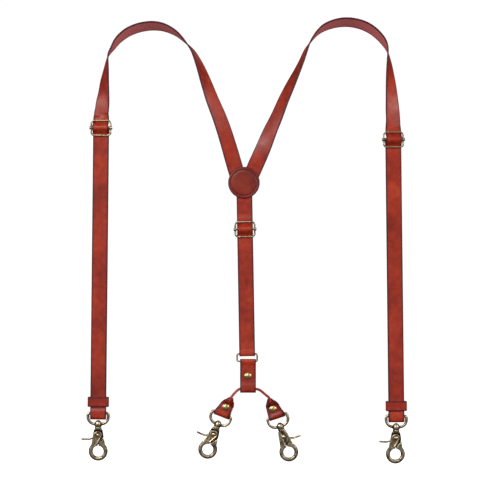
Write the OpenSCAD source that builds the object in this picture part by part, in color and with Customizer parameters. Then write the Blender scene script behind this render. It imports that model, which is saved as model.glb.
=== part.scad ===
// Y-back leather suspenders with four swivel trigger snaps.
// Front faces -Y, up is +Z. The origin lies midway between the tops of the two
// shoulder loops, where the pair is held when it is worn or hung.

/* [Leather] */
// Width of the straps
strap_w = 19; // [17:0.5:21]
// Thickness of the leather
strap_t = 1.8; // [1.6:0.1:2]
// Diameter of the round patch that joins the straps
yoke_d = 38; // [36:1:42]
// Height of the two keepers
keeper_h = 11.7; // [9:0.1:13]

/* [Hardware] */
// Height of the adjusting buckles, outside
buckle_h = 20; // [18:0.5:22]
// Width of the adjusting buckles, outside
buckle_w = 25.5; // [25:0.5:28]
// Wire diameter of the buckles
buckle_wire = 2.2; // [1.8:0.1:2.4]
// Wire diameter of the D-shaped swivel eyes
eye_wire = 3.2; // [2.8:0.1:3.4]
// Inner radius of the hook ring
hook_r = 6.7; // [6:0.1:7]
// Diameter of the round thong between the rear clips
thong_d = 3.1; // [2.8:0.1:3.4]
// Diameter of the rivet heads
rivet_d = 8.6; // [7:0.1:9]

/* [Hidden] */
$fn = 48;

cognac = "#9a4031";
wine = "#4a1c26";
antique = "#9c8560";
brass = "#c2a04a";

// Gap between the two layers of a doubled strap, and the middle of each layer
layer_gap = 0.4;
layer_y = layer_gap / 2 + strap_t / 2;
// Slack between leather and metal
slack = 0.15;
// Leather is pared thinner where it loops round the buckle pin
pared_t = 0.9;
pin_r = 1.1;
pin_slack = 0.1;
loop_r = pin_r + pin_slack + pared_t / 2;
// The buckle's plane lies in front of the front layer
buckle_y = -layer_y - strap_t / 2 - slack - buckle_wire / 2;
over_pin_y = buckle_y - pin_r - pin_slack - pared_t - slack - strap_t / 2;
wave_h = buckle_h / 2 + 1;
eye_r = eye_wire / 2;
eye_fold_r = eye_r + slack + strap_t / 2;
link_r = 1;
link_fold_r = link_r + slack + strap_t / 2;
link_half = 4.5;
// A new fold hangs a little below its eye
fold_drop = 4.2;
fold_top = 26;
// A facet number that stays a true circle
fine = 32;

// Legs: x, z and lean of the buckle pin, length to the lower bar, keeper height over that bar
LEFT = [-176.2, -120.5, -0.6, 342, 13.5];
RIGHT = [174.3, -134.5, 0.65, 331.5, 12];
BACK = [-3.6, -242, 1, 149.4, 0];
// Clips: x and z of the eye's bar, and lean
LEFT_CLIP = [LEFT[0] + LEFT[3] * sin(LEFT[2]), LEFT[1] - LEFT[3] * cos(LEFT[2]), 0];
RIGHT_CLIP = [RIGHT[0] + RIGHT[3] * sin(RIGHT[2]), RIGHT[1] - RIGHT[3] * cos(RIGHT[2]), -1.5];
REAR_LEFT_CLIP = [-31.2, -463.6, -22];
REAR_RIGHT_CLIP = [34.5, -465.9, 18.5];
LINK = [BACK[0] + BACK[3] * sin(BACK[2]), BACK[1] - BACK[3] * cos(BACK[2]) - link_half];
yoke = [-4.9, -186];

// Shoulder loops from the buckle to the yoke: x, z and twist in degrees
LEFT_ROUTE = [
  [-176, -104, 0], [-175.9, -102, 4], [-175.2, -98, 14], [-174.4, -90, 27], [-173.1, -78, 43],
  [-172, -64, 55], [-170.2, -50, 69], [-168, -34, 86], [-162.5, -24.5, 98], [-156, -15, 108],
  [-146, -6.5, 114.5], [-135, -1.3, 117], [-124.5, 1.4, 117.5], [-113.5, 2.3, 117], [-102.5, 0.8, 113],
  [-92.8, -3, 107], [-83.5, -9, 99], [-73.5, -19, 88], [-65.5, -29, 77], [-57.5, -46, 62],
  [-49.8, -67, 47], [-42.6, -87, 36], [-34.9, -106, 27], [-28.2, -125, 19], [-21.8, -146, 10],
  [-17.5, -161, 1], [-12.5, -178, 0]
];
RIGHT_ROUTE = [
  [174.1, -118, 0], [174.1, -116, -2], [174.1, -110, -9], [173.4, -98, -22], [172.6, -84, -36],
  [171.5, -68, -47], [170.5, -56, -57], [169.4, -42, -70], [167.6, -28, -88], [164.3, -19.5, -102],
  [159, -12, -109], [150, -3.7, -114], [139, 2.5, -117], [126, 6, -117.5], [113.8, 6.5, -117],
  [102.5, 4.5, -114], [92, 0.4, -109], [84, -5.5, -100], [78.5, -11.8, -94], [74, -18.5, -89],
  [69.8, -26.5, -80], [64.8, -39, -74], [59.5, -51, -68], [51.4, -68, -57], [42.6, -87, -49],
  [34.8, -106, -41], [26.2, -125, -29], [18.5, -144, -14], [9.7, -164, -1], [3, -179, 0]
];
// The thong from the left tab, through the sleeve, to the right tab: x and z
THONG_ROUTE = [
  [-24.8, -451.4], [-22.5, -447.7], [-20, -443.5], [-19.1, -442.1], [-17.4, -439.9], [-14.7, -437.1],
  [-12.3, -434.9], [-10.5, -433.8], [-8.5, -433.6], [0, -433.6], [8.5, -433.6], [10.6, -433.7],
  [13, -434.4], [15.8, -436], [18.9, -438.6], [22, -441.2], [24.2, -442.9], [25, -443.8],
  [25.4, -444.9], [26.9, -449.5], [28.3, -453.5]
];
thong_y = 0;
sleeve_z = -433.6;
centre_x = 0;
sleeve_fold_r = thong_d / 2 + slack + strap_t / 2;
sleeve_drop = 1;

// Clip sizes below the eye's bar
boss_top = -9.8;
boss_bottom = -16.4;
collar_top = -16.6;
collar_bottom = -19.4;
post_r = 1.6;
pivot_z = -26.4;
ring_z = -45.7;
ring_mid = 8.9;
ring_section = 2.4;
cheek_y = 2.7;
channel_y = 1.25;
channel_floor = -36;
lever_z = -31.4;
lever_in = 10.6;
lever_out = 20;
gate_y = 1.1;
pivot_r = 1.3;
fit = 0.05;
split_angle = -50;
spring_x = 2.6;
spring_top = -20.2;
spring_bottom = -24.2;

function ease(a) = a * a * (3 - 2 * a);
function unit(v) = v / norm(v);
// Catmull-Rom point between b and c
function smooth(a, b, c, d, s) =
  0.5 * (2 * b + (c - a) * s + (2 * a - 5 * b + 4 * c - d) * s * s
    + (3 * b - a - 3 * c + d) * s * s * s);
function refined(r, steps) = let (n = len(r)) [
  for (i = [0 : n - 2], k = [0 : steps - 1])
    smooth(r[max(i - 1, 0)], r[i], r[i + 1], r[min(i + 2, n - 1)], k / steps),
  r[n - 1]
];

// A flat band swept along rows of x, z and twist: twist 0 faces the front
module ribbon(route, width, thick) {
  r = refined(route, 3);
  n = len(r);
  corners = [
    for (i = [0 : n - 1])
      let (
        a = r[max(i - 1, 0)],
        b = r[min(i + 1, n - 1)],
        t = unit([b[0] - a[0], 0, b[1] - a[1]]),
        across = [t[2], 0, -t[0]],
        w = across * cos(r[i][2]) + [0, -1, 0] * sin(r[i][2]),
        nrm = cross(w, t),
        c = [r[i][0], 0, r[i][1]],
        u = w * width / 2,
        v = nrm * thick / 2
      ) each [c + u + v, c + u - v, c - u - v, c - u + v]
  ];
  sides = [
    for (i = [0 : n - 2], k = [0 : 3])
      let (p = 4 * i + k, q = 4 * i + (k + 1) % 4) each [[p, q, q + 4], [p, q + 4, p + 4]]
  ];
  polyhedron(corners, concat([[3, 2, 1], [3, 1, 0]], sides,
    [[4 * n - 4, 4 * n - 3, 4 * n - 2], [4 * n - 4, 4 * n - 2, 4 * n - 1]]), convexity = 6);
}

// A round tube with a few sides along rows of x and z
module tube(route, radius, sides) {
  r = refined(route, 2);
  n = len(r);
  points = [
    for (i = [0 : n - 1])
      let (
        a = r[max(i - 1, 0)],
        b = r[min(i + 1, n - 1)],
        t = unit([b[0] - a[0], 0, b[1] - a[1]]),
        across = [t[2], 0, -t[0]]
      ) for (k = [0 : sides - 1])
        [r[i][0], thong_y, r[i][1]]
          + radius * (across * cos(360 * k / sides) + [0, 1, 0] * sin(360 * k / sides))
  ];
  walls = [
    for (i = [0 : n - 2], k = [0 : sides - 1])
      let (p = sides * i + k, q = sides * i + (k + 1) % sides)
        each [[p, q + sides, q], [p, p + sides, q + sides]]
  ];
  caps = [
    for (k = [1 : sides - 2])
      each [[0, k, k + 1], [(n - 1) * sides, (n - 1) * sides + k + 1, (n - 1) * sides + k]]
  ];
  polyhedron(points, concat(walls, caps), convexity = 6);
}

// Outline of a band of leather seen from the side, along a path of y and z
function side_normal(p, i) =
  let (d = unit(p[min(i + 1, len(p) - 1)] - p[max(i - 1, 0)])) [-d[1], d[0]];
function band_outline(p, thick) = concat(
  [for (i = [0 : len(p) - 1]) p[i] + side_normal(p, i) * thick / 2],
  [for (i = [len(p) - 1 : -1 : 0]) p[i] - side_normal(p, i) * thick / 2]
);
module band(path, thick, width = strap_w) {
  rotate([90, 0, 90])
    linear_extrude(width, center = true)
      polygon(band_outline(path, thick));
}

// A round cap whose flat side is at z = 0
module dome(radius, rise) {
  ball = (radius * radius + rise * rise) / (2 * rise);
  rotate_extrude()
    intersection() {
      translate([0, rise - ball])
        circle(ball, $fn = 96);
      square([radius, rise]);
    }
}

// Puts a leg's or a clip's parts at its x and z, turned by its lean
module hung_at(place) {
  translate([place[0], 0, place[1]])
    rotate([0, -place[2], 0])
      children();
}

// A quarter or half turn of round wire in the XZ plane
module wire_turn(x, z, bend, wire, from, angle) {
  translate([x, 0, z])
    rotate([90, 0, 0])
      rotate_extrude(angle = angle, start = from)
        translate([bend, 0])
          circle(wire / 2, $fn = fine);
}
module wire_x(x, z, length, wire) {
  translate([x, 0, z])
    rotate([0, 90, 0])
      cylinder(length, wire / 2, wire / 2, center = true, $fn = fine);
}
module wire_z(x, z, length, wire) {
  translate([x, 0, z])
    cylinder(length, wire / 2, wire / 2, center = true, $fn = fine);
}

// Yoke

module mitre_left() {
  translate([yoke[0] - 99.9, -20, -300])
    cube([100, 40, 600]);
}
module mitre_right() {
  translate([yoke[0] - 0.1, -20, -300])
    cube([100, 40, 600]);
}
module left_shoulder_strap() {
  color(cognac)
    difference() {
      ribbon(LEFT_ROUTE, strap_w, strap_t);
      mitre_right();
      translate([-60, -20, yoke[1] - 40])
        cube([100, 40, 42]);
    }
}
module right_shoulder_strap() {
  color(cognac)
    difference() {
      ribbon(RIGHT_ROUTE, strap_w, strap_t);
      mitre_left();
      translate([-60, -20, yoke[1] - 40])
        cube([100, 40, 42]);
    }
}
module back_strap() {
  top = yoke[1] + 1.9 - BACK[1];
  color(cognac)
    hung_at(BACK)
      translate([-strap_w / 2, -strap_t / 2, wave_h + 8])
        cube([strap_w, strap_t, top - wave_h - 8]);
}
module yoke_disc(rise) {
  rotate([90, 0, 0])
    rotate_extrude()
      polygon([
        [0, 0], [yoke_d / 2, 0], [yoke_d / 2, strap_t * 0.7], [yoke_d / 2 - 0.6, strap_t],
        [yoke_d / 2 - 2.6, strap_t], [yoke_d / 2 - 3.2, strap_t * 0.6], [yoke_d / 2 - 3.8, strap_t],
        [yoke_d / 2 - 5.5, strap_t + rise * 0.8], [yoke_d / 2 - 8, strap_t + rise], [0, strap_t + rise]
      ]);
}
module yoke_front_disc() {
  color(cognac)
    translate([yoke[0], -strap_t / 2 - 0.1, yoke[1]])
      yoke_disc(0.8);
}
module yoke_back_disc() {
  color(cognac)
    translate([yoke[0], strap_t / 2 + 0.1, yoke[1]])
      rotate([0, 0, 180])
        yoke_disc(0.3);
}
module yoke_stitching() {
  stitches = 34;
  seam_y = strap_t * 1.1 + strap_t / 2 + 0.4;
  color(wine)
    for (k = [0 : stitches - 1], side = [-1, 1])
      translate([yoke[0], side * seam_y, yoke[1]])
        rotate([0, 360 * k / stitches, 0])
          translate([yoke_d / 2 - 3.2, 0, 0])
            cylinder(2, 0.3, 0.3, center = true, $fn = 16);
}

// Strap sections round the buckles

// The single strap comes to the front layer's plane just above the buckle
module eased_slack(leg, length) {
  end = 0.3;
  color(cognac)
    hung_at(leg)
      band(concat(
        [[-layer_y, wave_h]],
        [for (k = [0 : 8]) [-layer_y * (1 - ease(k / 8)), wave_h + end + (length - 2 * end) * k / 8]],
        [[0, wave_h + length]]
      ), strap_t);
}
module left_strap_slack() {
  eased_slack(LEFT, 16.3 - wave_h);
}
module right_strap_slack() {
  eased_slack(RIGHT, 16.3 - wave_h);
}
module back_strap_slack() {
  eased_slack(BACK, 8);
}
module buckle_frame(leg) {
  bend = 4;
  half_w = (buckle_w - buckle_wire) / 2;
  half_h = (buckle_h - buckle_wire) / 2;
  color(antique)
    hung_at(leg)
      translate([0, buckle_y, 0])
        difference() {
          union() {
            for (s = [-1, 1]) {
              wire_x(0, s * half_h, 2 * (half_w - bend), buckle_wire);
              wire_z(s * half_w, 0, 2 * (half_h - bend), buckle_wire);
              wire_x(s * half_w, 0, 2.6, 4.2);
            }
            wire_turn(half_w - bend, half_h - bend, bend, buckle_wire, 0, 90);
            wire_turn(bend - half_w, half_h - bend, bend, buckle_wire, 90, 90);
            wire_turn(bend - half_w, bend - half_h, bend, buckle_wire, 180, 90);
            wire_turn(half_w - bend, bend - half_h, bend, buckle_wire, 270, 90);
          }
          wire_x(0, 0, buckle_w + 10, 2 * (pin_r + fit));
        }
}
module left_buckle_frame() {
  buckle_frame(LEFT);
}
module right_buckle_frame() {
  buckle_frame(RIGHT);
}
module back_buckle_frame() {
  buckle_frame(BACK);
}
module buckle_pin(leg) {
  head = 0.8;
  color(antique)
    hung_at(leg)
      translate([0, buckle_y, 0]) {
        wire_x(0, 0, buckle_w + 1.4, 2 * pin_r);
        for (s = [-1, 1])
          wire_x(s * (buckle_w / 2 + 0.2 + head / 2), 0, head, 3.2);
      }
}
module left_buckle_pin() {
  buckle_pin(LEFT);
}
module right_buckle_pin() {
  buckle_pin(RIGHT);
}
module back_buckle_pin() {
  buckle_pin(BACK);
}
// The front layer rises over the pin; the strap's end comes up behind and loops round it
function wave_path() = [
  for (k = [-16 : 16])
    let (z = wave_h * k / 16, s = min(1, abs(z) / (buckle_h / 2 - buckle_wire)))
      [over_pin_y + (-layer_y - over_pin_y) * ease(ease(s) * 0.5 + s * 0.5), z]
];
function loop_path() = concat(
  [[layer_y, -wave_h]],
  [
    for (k = [0 : 6])
      [layer_y + (buckle_y + loop_r - layer_y) * ease(k / 6), -wave_h + 0.3 + (wave_h - 1.3) * k / 6]
  ],
  [for (a = [0 : 20 : 240]) [buckle_y + loop_r * cos(a), loop_r * sin(a)]]
);
module strap_over_pin(leg) {
  color(cognac)
    hung_at(leg) {
      band(wave_path(), strap_t);
      band(loop_path(), pared_t);
    }
}
module left_strap_over_pin() {
  strap_over_pin(LEFT);
}
module right_strap_over_pin() {
  strap_over_pin(RIGHT);
}
module back_strap_over_pin() {
  strap_over_pin(BACK);
}
module straight_layer(leg, y, thick) {
  bottom = fold_top - leg[3];
  color(cognac)
    hung_at(leg)
      translate([-strap_w / 2, y - thick / 2, bottom])
        cube([strap_w, thick, -wave_h - bottom]);
}
module left_front_layer() {
  straight_layer(LEFT, -layer_y, strap_t);
}
module right_front_layer() {
  straight_layer(RIGHT, -layer_y, strap_t);
}
module back_front_layer() {
  straight_layer(BACK, -layer_y, strap_t);
}
module left_return_layer() {
  straight_layer(LEFT, layer_y, strap_t);
}
module right_return_layer() {
  straight_layer(RIGHT, layer_y, strap_t);
}
module back_return_layer() {
  straight_layer(BACK, layer_y, strap_t);
}
// The fold at a strap's lower end, round a bar at height 0
function fold_path(bend, drop, top) = concat(
  [[-layer_y, top], [-layer_y, 7]],
  [for (k = [1 : 6]) [-layer_y - (bend - layer_y) * ease(k / 6), 7 - k]],
  [for (a = [180 : 15 : 360]) [bend * cos(a), bend * sin(a) - drop]],
  [for (k = [6 : -1 : 1]) [layer_y + (bend - layer_y) * ease(k / 6), 7 - k]],
  [[layer_y, 7], [layer_y, top]]
);
module strap_fold(leg, bend, drop) {
  color(cognac)
    hung_at(leg)
      translate([0, 0, -leg[3]])
        band(fold_path(bend, drop, fold_top), strap_t);
}
module left_strap_fold() {
  strap_fold(LEFT, eye_fold_r, fold_drop);
}
module right_strap_fold() {
  strap_fold(RIGHT, eye_fold_r, fold_drop);
}
module back_strap_fold() {
  strap_fold(BACK, link_fold_r, 0);
}
module keeper(leg) {
  inner_w = strap_w + 3.4;
  inner_d = 2 * (layer_y + strap_t / 2) + 0.6;
  wall = 1.5;
  color(cognac)
    hung_at(leg)
      translate([0, 0, leg[4] - leg[3] - keeper_h / 2])
        linear_extrude(keeper_h)
          difference() {
            union() {
              hull()
                for (x = [-1, 1], y = [-1, 1])
                  translate([x * (inner_w / 2 - 0.6), y * (inner_d / 2 - 0.6)])
                    circle(wall + 0.6, $fn = fine);
              translate([-5, inner_d / 2])
                square([10, wall + 1]);
            }
            hull()
              for (x = [-1, 1], y = [-1, 1])
                translate([x * (inner_w / 2 - 0.8), y * (inner_d / 2 - 0.8)])
                  circle(0.8, $fn = fine);
          }
}
module left_keeper() {
  keeper(LEFT);
}
module right_keeper() {
  keeper(RIGHT);
}

// Clips

module eye_wire_shape() {
  side = 12.2;
  corner = 2.6;
  foot = 8.5;
  depth = 13.2;
  wire_x(0, 0, 2 * (side - corner), eye_wire);
  wire_x(0, -depth, 2 * (side - foot), eye_wire);
  wire_turn(side - corner, -corner, corner, eye_wire, 0, 90);
  wire_turn(corner - side, -corner, corner, eye_wire, 90, 90);
  wire_turn(foot - side, foot - depth, foot, eye_wire, 180, 90);
  wire_turn(side - foot, foot - depth, foot, eye_wire, 270, 90);
  for (s = [-1, 1])
    wire_z(s * side, (foot - depth - corner) / 2, depth - foot - corner, eye_wire);
}
module eye(clip) {
  color(antique)
    hung_at(clip)
      difference() {
        union() {
          eye_wire_shape();
          translate([0, 0, boss_bottom])
            rotate_extrude()
              polygon([[0, 0], [3.6, 0], [4.2, 1.4], [4.3, 3.2], [3.8, 5], [2.9, 6.6], [0, 6.6]]);
        }
        translate([0, 0, boss_bottom - 1])
          cylinder(boss_top - boss_bottom + 2, post_r + fit, post_r + fit);
      }
}
module left_eye() {
  eye(LEFT_CLIP);
}
module right_eye() {
  eye(RIGHT_CLIP);
}
module rear_left_eye() {
  eye(REAR_LEFT_CLIP);
}
module rear_right_eye() {
  eye(REAR_RIGHT_CLIP);
}

// Outline of the closed hook without its ring's hole
module clip_outline() {
  hull() {
    translate([0, pivot_z + 0.6])
      circle(6, $fn = fine);
    translate([-4.6, collar_bottom])
      square([9.2, 0.2]);
  }
  hull() {
    translate([0, pivot_z])
      circle(5.9, $fn = fine);
    translate([0, ring_z + 3.5])
      circle(8.6, $fn = fine);
  }
}
// Everything on the gate's side of the slanting gap; gap widens the cut
module gate_side(gap) {
  polygon([
    [7.3 - gap, -28], [-0.6 - gap, -37.6], [-0.6 - gap, ring_z], [20, ring_z], [20, -28]
  ]);
}
module plate(half) {
  rotate([90, 0, 0])
    linear_extrude(2 * half, center = true)
      children();
}
module ring_hole() {
  translate([0, 0, ring_z])
    rotate([90, 0, 0])
      cylinder(20, hook_r, hook_r, center = true, $fn = 96);
}
module pin_hole(radius) {
  translate([0, 0, pivot_z])
    rotate([90, 0, 0])
      cylinder(20, radius, radius, center = true);
}
module ring_arc(from, angle) {
  translate([0, 0, ring_z])
    rotate([90, 0, 0])
      rotate_extrude(angle = angle, start = from)
        translate([ring_mid, 0])
          circle(ring_section, $fn = fine);
}
module hook_shape() {
  difference() {
    union() {
      plate(cheek_y - 0.3)
        difference() {
          clip_outline();
          gate_side(0);
          translate([-20, ring_z - 20])
            square([40, 20]);
        }
      // Raised cheek round the rivet
      translate([0, 0.3 - cheek_y, 0])
        plate(0.3)
          hull() {
            translate([0, pivot_z])
              circle(4.6, $fn = fine);
            translate([-1.4, -36])
              circle(0.8, $fn = fine);
          }
      ring_arc(100, 260 + split_angle);
      translate([0, 0, collar_bottom])
        cylinder(collar_top - collar_bottom, 3.7, 3.9);
    }
    ring_hole();
    pin_hole(pivot_r + fit);
    // Channel for the gate, open on both sides below the block
    translate([-20, -channel_y, channel_floor])
      cube([40, 2 * channel_y, -21.6 - channel_floor]);
    translate([-1, -channel_y, -38])
      cube([20, 2 * channel_y, 5]);
    translate([spring_x, 0, spring_bottom])
      cylinder(spring_top - spring_bottom, 1.1, 1.1);
    translate([-5, -5, -2])
      cube([10, 10, 5]);
  }
  // Swivel post with its peened head
  translate([0, 0, collar_top - 0.2])
    cylinder(boss_top - collar_top + 0.3, post_r, post_r);
  translate([0, 0, boss_top + 0.1])
    dome(2.4, 1.3);
}
module hook(clip, side) {
  color(antique)
    hung_at(clip)
      turned_over(side)
        hook_shape();
}
// A clip that lies face down is the front one turned front to back
module turned_over(side) {
  if (side > 0)
    mirror([0, 1, 0])
      children();
  else
    children();
}
module left_hook() {
  hook(LEFT_CLIP, -1);
}
module right_hook() {
  hook(RIGHT_CLIP, -1);
}
module rear_left_hook() {
  hook(REAR_LEFT_CLIP, -1);
}
module rear_right_hook() {
  hook(REAR_RIGHT_CLIP, 1);
}

// One piece: hub, thumb lever and the gate's arc of the ring
module gate_shape(lever_side) {
  difference() {
    union() {
      // Full-thickness arm below the slanting gap
      plate(cheek_y - 0.3)
        intersection() {
          difference() {
            clip_outline();
            translate([-20, ring_z - 20])
              square([40, 20]);
          }
          gate_side(-1.3);
        }
      ring_arc(split_angle + 1.4, 60 - split_angle);
      // Tongue between the cheeks
      plate(gate_y) {
        translate([0, pivot_z])
          circle(3.2, $fn = fine);
        hull() {
          translate([1.6, pivot_z - 1.4])
            circle(1.6, $fn = fine);
          translate([5, -34.5])
            circle(2.2, $fn = fine);
          translate([1.3, -36.2])
            circle(1.6, $fn = fine);
        }
        translate([1.2, pivot_z])
          square([2.6, spring_bottom - 0.1 - pivot_z]);
        hull() {
          translate([lever_side * 1.6, pivot_z - 1.6])
            circle(1.4, $fn = fine);
          translate([lever_side * (lever_in + 0.2), lever_z])
            circle(0.9, $fn = fine);
        }
      }
      // Thumb lever, a flat blade broader than the channel
      translate([lever_side * (lever_in + lever_out) / 2, 0, lever_z])
        cube([lever_out - lever_in, 5, 1.7], center = true);
    }
    ring_hole();
    pin_hole(pivot_r + fit);
  }
}
module gate(clip, side) {
  color(antique)
    hung_at(clip)
      turned_over(side)
        gate_shape(side);
}
module left_gate() {
  gate(LEFT_CLIP, -1);
}
module right_gate() {
  gate(RIGHT_CLIP, -1);
}
module rear_left_gate() {
  gate(REAR_LEFT_CLIP, -1);
}
module rear_right_gate() {
  gate(REAR_RIGHT_CLIP, 1);
}
module pivot(clip) {
  color(antique)
    hung_at(clip)
      translate([0, 0, pivot_z])
        rotate([90, 0, 0]) {
          cylinder(2 * cheek_y + 0.4, pivot_r, pivot_r, center = true);
          translate([0, 0, cheek_y + 0.1])
            dome(2.2, 0.9);
          mirror([0, 0, 1])
            translate([0, 0, cheek_y + 0.1])
              dome(2.2, 0.9);
        }
}
module left_pivot() {
  pivot(LEFT_CLIP);
}
module right_pivot() {
  pivot(RIGHT_CLIP);
}
module rear_left_pivot() {
  pivot(REAR_LEFT_CLIP);
}
module rear_right_pivot() {
  pivot(REAR_RIGHT_CLIP);
}
// Compression spring between the block and the gate's shoulder
module gate_spring(clip) {
  turns = 5;
  per_turn = 10;
  wire = 0.2;
  coil = 0.75;
  sides = 6;
  rise = spring_top - spring_bottom - 2 * wire - 0.1;
  n = turns * per_turn;
  points = [
    for (i = [0 : n], k = [0 : sides - 1])
      let (
        a = 360 * i / per_turn,
        out = coil + wire * cos(360 * k / sides),
        up = spring_bottom + wire + 0.05 + rise * i / n
      ) [out * cos(a), out * sin(a), up + wire * sin(360 * k / sides)]
  ];
  walls = [
    for (i = [0 : n - 1], k = [0 : sides - 1])
      let (p = sides * i + k, q = sides * i + (k + 1) % sides)
        each [[p, q + sides, q], [p, p + sides, q + sides]]
  ];
  caps = [for (k = [1 : sides - 2]) each [[0, k, k + 1], [n * sides, n * sides + k + 1, n * sides + k]]];
  color(antique)
    hung_at(clip)
      translate([spring_x, 0, 0])
        polyhedron(points, concat(walls, caps), convexity = 8);
}
module left_spring() {
  gate_spring(LEFT_CLIP);
}
module right_spring() {
  gate_spring(RIGHT_CLIP);
}
module rear_left_spring() {
  gate_spring(REAR_LEFT_CLIP);
}
module rear_right_spring() {
  gate_spring(REAR_RIGHT_CLIP);
}

// Rear link, centre tab, thong and clip tabs

module link_ring() {
  half_w = 12;
  bend = 2;
  color(antique)
    translate([LINK[0], 0, LINK[1]]) {
      for (s = [-1, 1]) {
        wire_x(0, s * link_half, 2 * (half_w - bend), 2 * link_r);
        wire_z(s * half_w, 0, 2 * (link_half - bend), 2 * link_r);
      }
      wire_turn(half_w - bend, link_half - bend, bend, 2 * link_r, 0, 90);
      wire_turn(bend - half_w, link_half - bend, bend, 2 * link_r, 90, 90);
      wire_turn(bend - half_w, bend - link_half, bend, 2 * link_r, 180, 90);
      wire_turn(half_w - bend, bend - link_half, bend, 2 * link_r, 270, 90);
    }
}
tab_y = strap_t / 2 + 0.1;
centre_rivet_z = -418;
// The end that closes the loop lies over the back
lap_y = 3 * tab_y;
function centre_path() =
  let (top = LINK[1] - link_half, low = sleeve_z - sleeve_drop)
    concat(
      [[lap_y, centre_rivet_z - 7], [lap_y, top - 8], [link_fold_r + 0.4, top - 4], [link_fold_r, top - 0.8]],
      [for (a = [0 : 15 : 180]) [link_fold_r * cos(a), top + link_fold_r * sin(a)]],
      [for (k = [1 : 5]) [-link_fold_r + (link_fold_r - tab_y) * ease(k / 5), top - 6 * k / 5]],
      [[-tab_y, sleeve_z + 10]],
      [for (k = [1 : 5]) [-tab_y - (sleeve_fold_r - tab_y) * ease(k / 5), sleeve_z + 10 - 8 * k / 5]],
      [for (a = [180 : 15 : 360]) [sleeve_fold_r * cos(a), low + sleeve_fold_r * sin(a)]],
      [for (k = [5 : -1 : 0]) [tab_y + (sleeve_fold_r - tab_y) * ease(k / 5), sleeve_z + 10 - 8 * k / 5]],
      [[tab_y, top - 7.5]]
    );
module centre_tab() {
  color(cognac)
    translate([centre_x, 0, 0])
      difference() {
        band(centre_path(), strap_t);
        translate([0, 0, centre_rivet_z])
          rotate([90, 0, 0])
            cylinder(30, 1.5 + fit, 1.5 + fit, center = true);
      }
}
// Domed brass rivet: front and back are how far its leather reaches each way
module rivet(front, back) {
  rotate([90, 0, 0]) {
    translate([0, 0, -back - 0.3])
      cylinder(front + back + 0.6, 1.5, 1.5);
    translate([0, 0, front + 0.05])
      dome(rivet_d / 2, 1.7);
    mirror([0, 0, 1])
      translate([0, 0, back + 0.05])
        dome(rivet_d / 2 - 0.6, 1);
  }
}
module centre_rivet() {
  color(brass)
    translate([centre_x, 0, centre_rivet_z])
      rivet(tab_y + strap_t / 2, lap_y + strap_t / 2);
}
module thong() {
  color(cognac)
    union() {
      tube(THONG_ROUTE, thong_d / 2, 8);
      translate([0, thong_y, sleeve_z])
        rotate([0, 90, 0])
          cylinder(strap_w - 1, r = thong_d / 2 + 0.05, center = true);
    }
}
tab_rivet_z = 9.3;
tab_top = 22.8;
LEFT_RIVET_X = 1.2;
RIGHT_RIVET_X = -1.95;
tab_base = -eye_fold_r - strap_t / 2;
function tab_path() = concat(
  [[-tab_y, 24], [-tab_y, 4.6]],
  [for (k = [1 : 6]) [-tab_y - (eye_fold_r - tab_y) * ease(k / 6), 4.6 - 0.7 * k]],
  [for (a = [180 : 15 : 360]) [eye_fold_r * cos(a), eye_fold_r * sin(a)]],
  [for (k = [6 : -1 : 1]) [tab_y + (eye_fold_r - tab_y) * ease(k / 6), 4.6 - 0.7 * k]],
  [[tab_y, 4.6], [tab_y, 24]]
);
// The thong pulls each tab's top aside by skew
module tab_outline(skew) {
  shoulder_z = 14.5;
  crown_z = tab_top - 2.3;
  hull() {
    translate([-10, tab_base])
      square([20, 5]);
    for (s = [-1, 1]) {
      translate([skew * shoulder_z + s * 4.3, shoulder_z])
        circle(3.6, $fn = fine);
      translate([skew * crown_z + s * 1.6, crown_z])
        circle(2.3, $fn = fine);
    }
  }
}
module clip_tab(clip, skew, rivet_x, ridge_lean) {
  ridge_r = thong_d / 2 + 1.5;
  channel_z = 12.6;
  color(cognac)
    hung_at(clip)
      difference() {
        union() {
          intersection() {
            band(tab_path(), strap_t, 30);
            plate(10)
              tab_outline(skew);
          }
          translate([rivet_x, 0, channel_z])
            rotate([0, ridge_lean, 0])
              translate([0, 0, 1.7])
                cylinder(8.6, ridge_r, ridge_r);
          // Soft leather closed between the layers above the bar
          plate(tab_y)
            intersection() {
              tab_outline(skew);
              translate([-20, 6])
                square([40, 30]);
            }
        }
        translate([rivet_x, 0, channel_z])
          rotate([0, ridge_lean, 0])
            cylinder(20, thong_d / 2 + 0.1, thong_d / 2 + 0.1);
        translate([rivet_x, 0, tab_rivet_z])
          rotate([90, 0, 0])
            cylinder(30, 1.5 + fit, 1.5 + fit, center = true);
      }
}
module rear_left_tab() {
  clip_tab(REAR_LEFT_CLIP, 0.14, LEFT_RIVET_X, 9.5);
}
module rear_right_tab() {
  clip_tab(REAR_RIGHT_CLIP, -0.09, RIGHT_RIVET_X, 0);
}
module tab_rivet(clip, rivet_x) {
  color(brass)
    hung_at(clip)
      translate([rivet_x, 0, tab_rivet_z])
        rivet(tab_y + strap_t / 2, tab_y + strap_t / 2);
}
module rear_left_rivet() {
  tab_rivet(REAR_LEFT_CLIP, LEFT_RIVET_X);
}
module rear_right_rivet() {
  tab_rivet(REAR_RIGHT_CLIP, RIGHT_RIVET_X);
}

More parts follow.
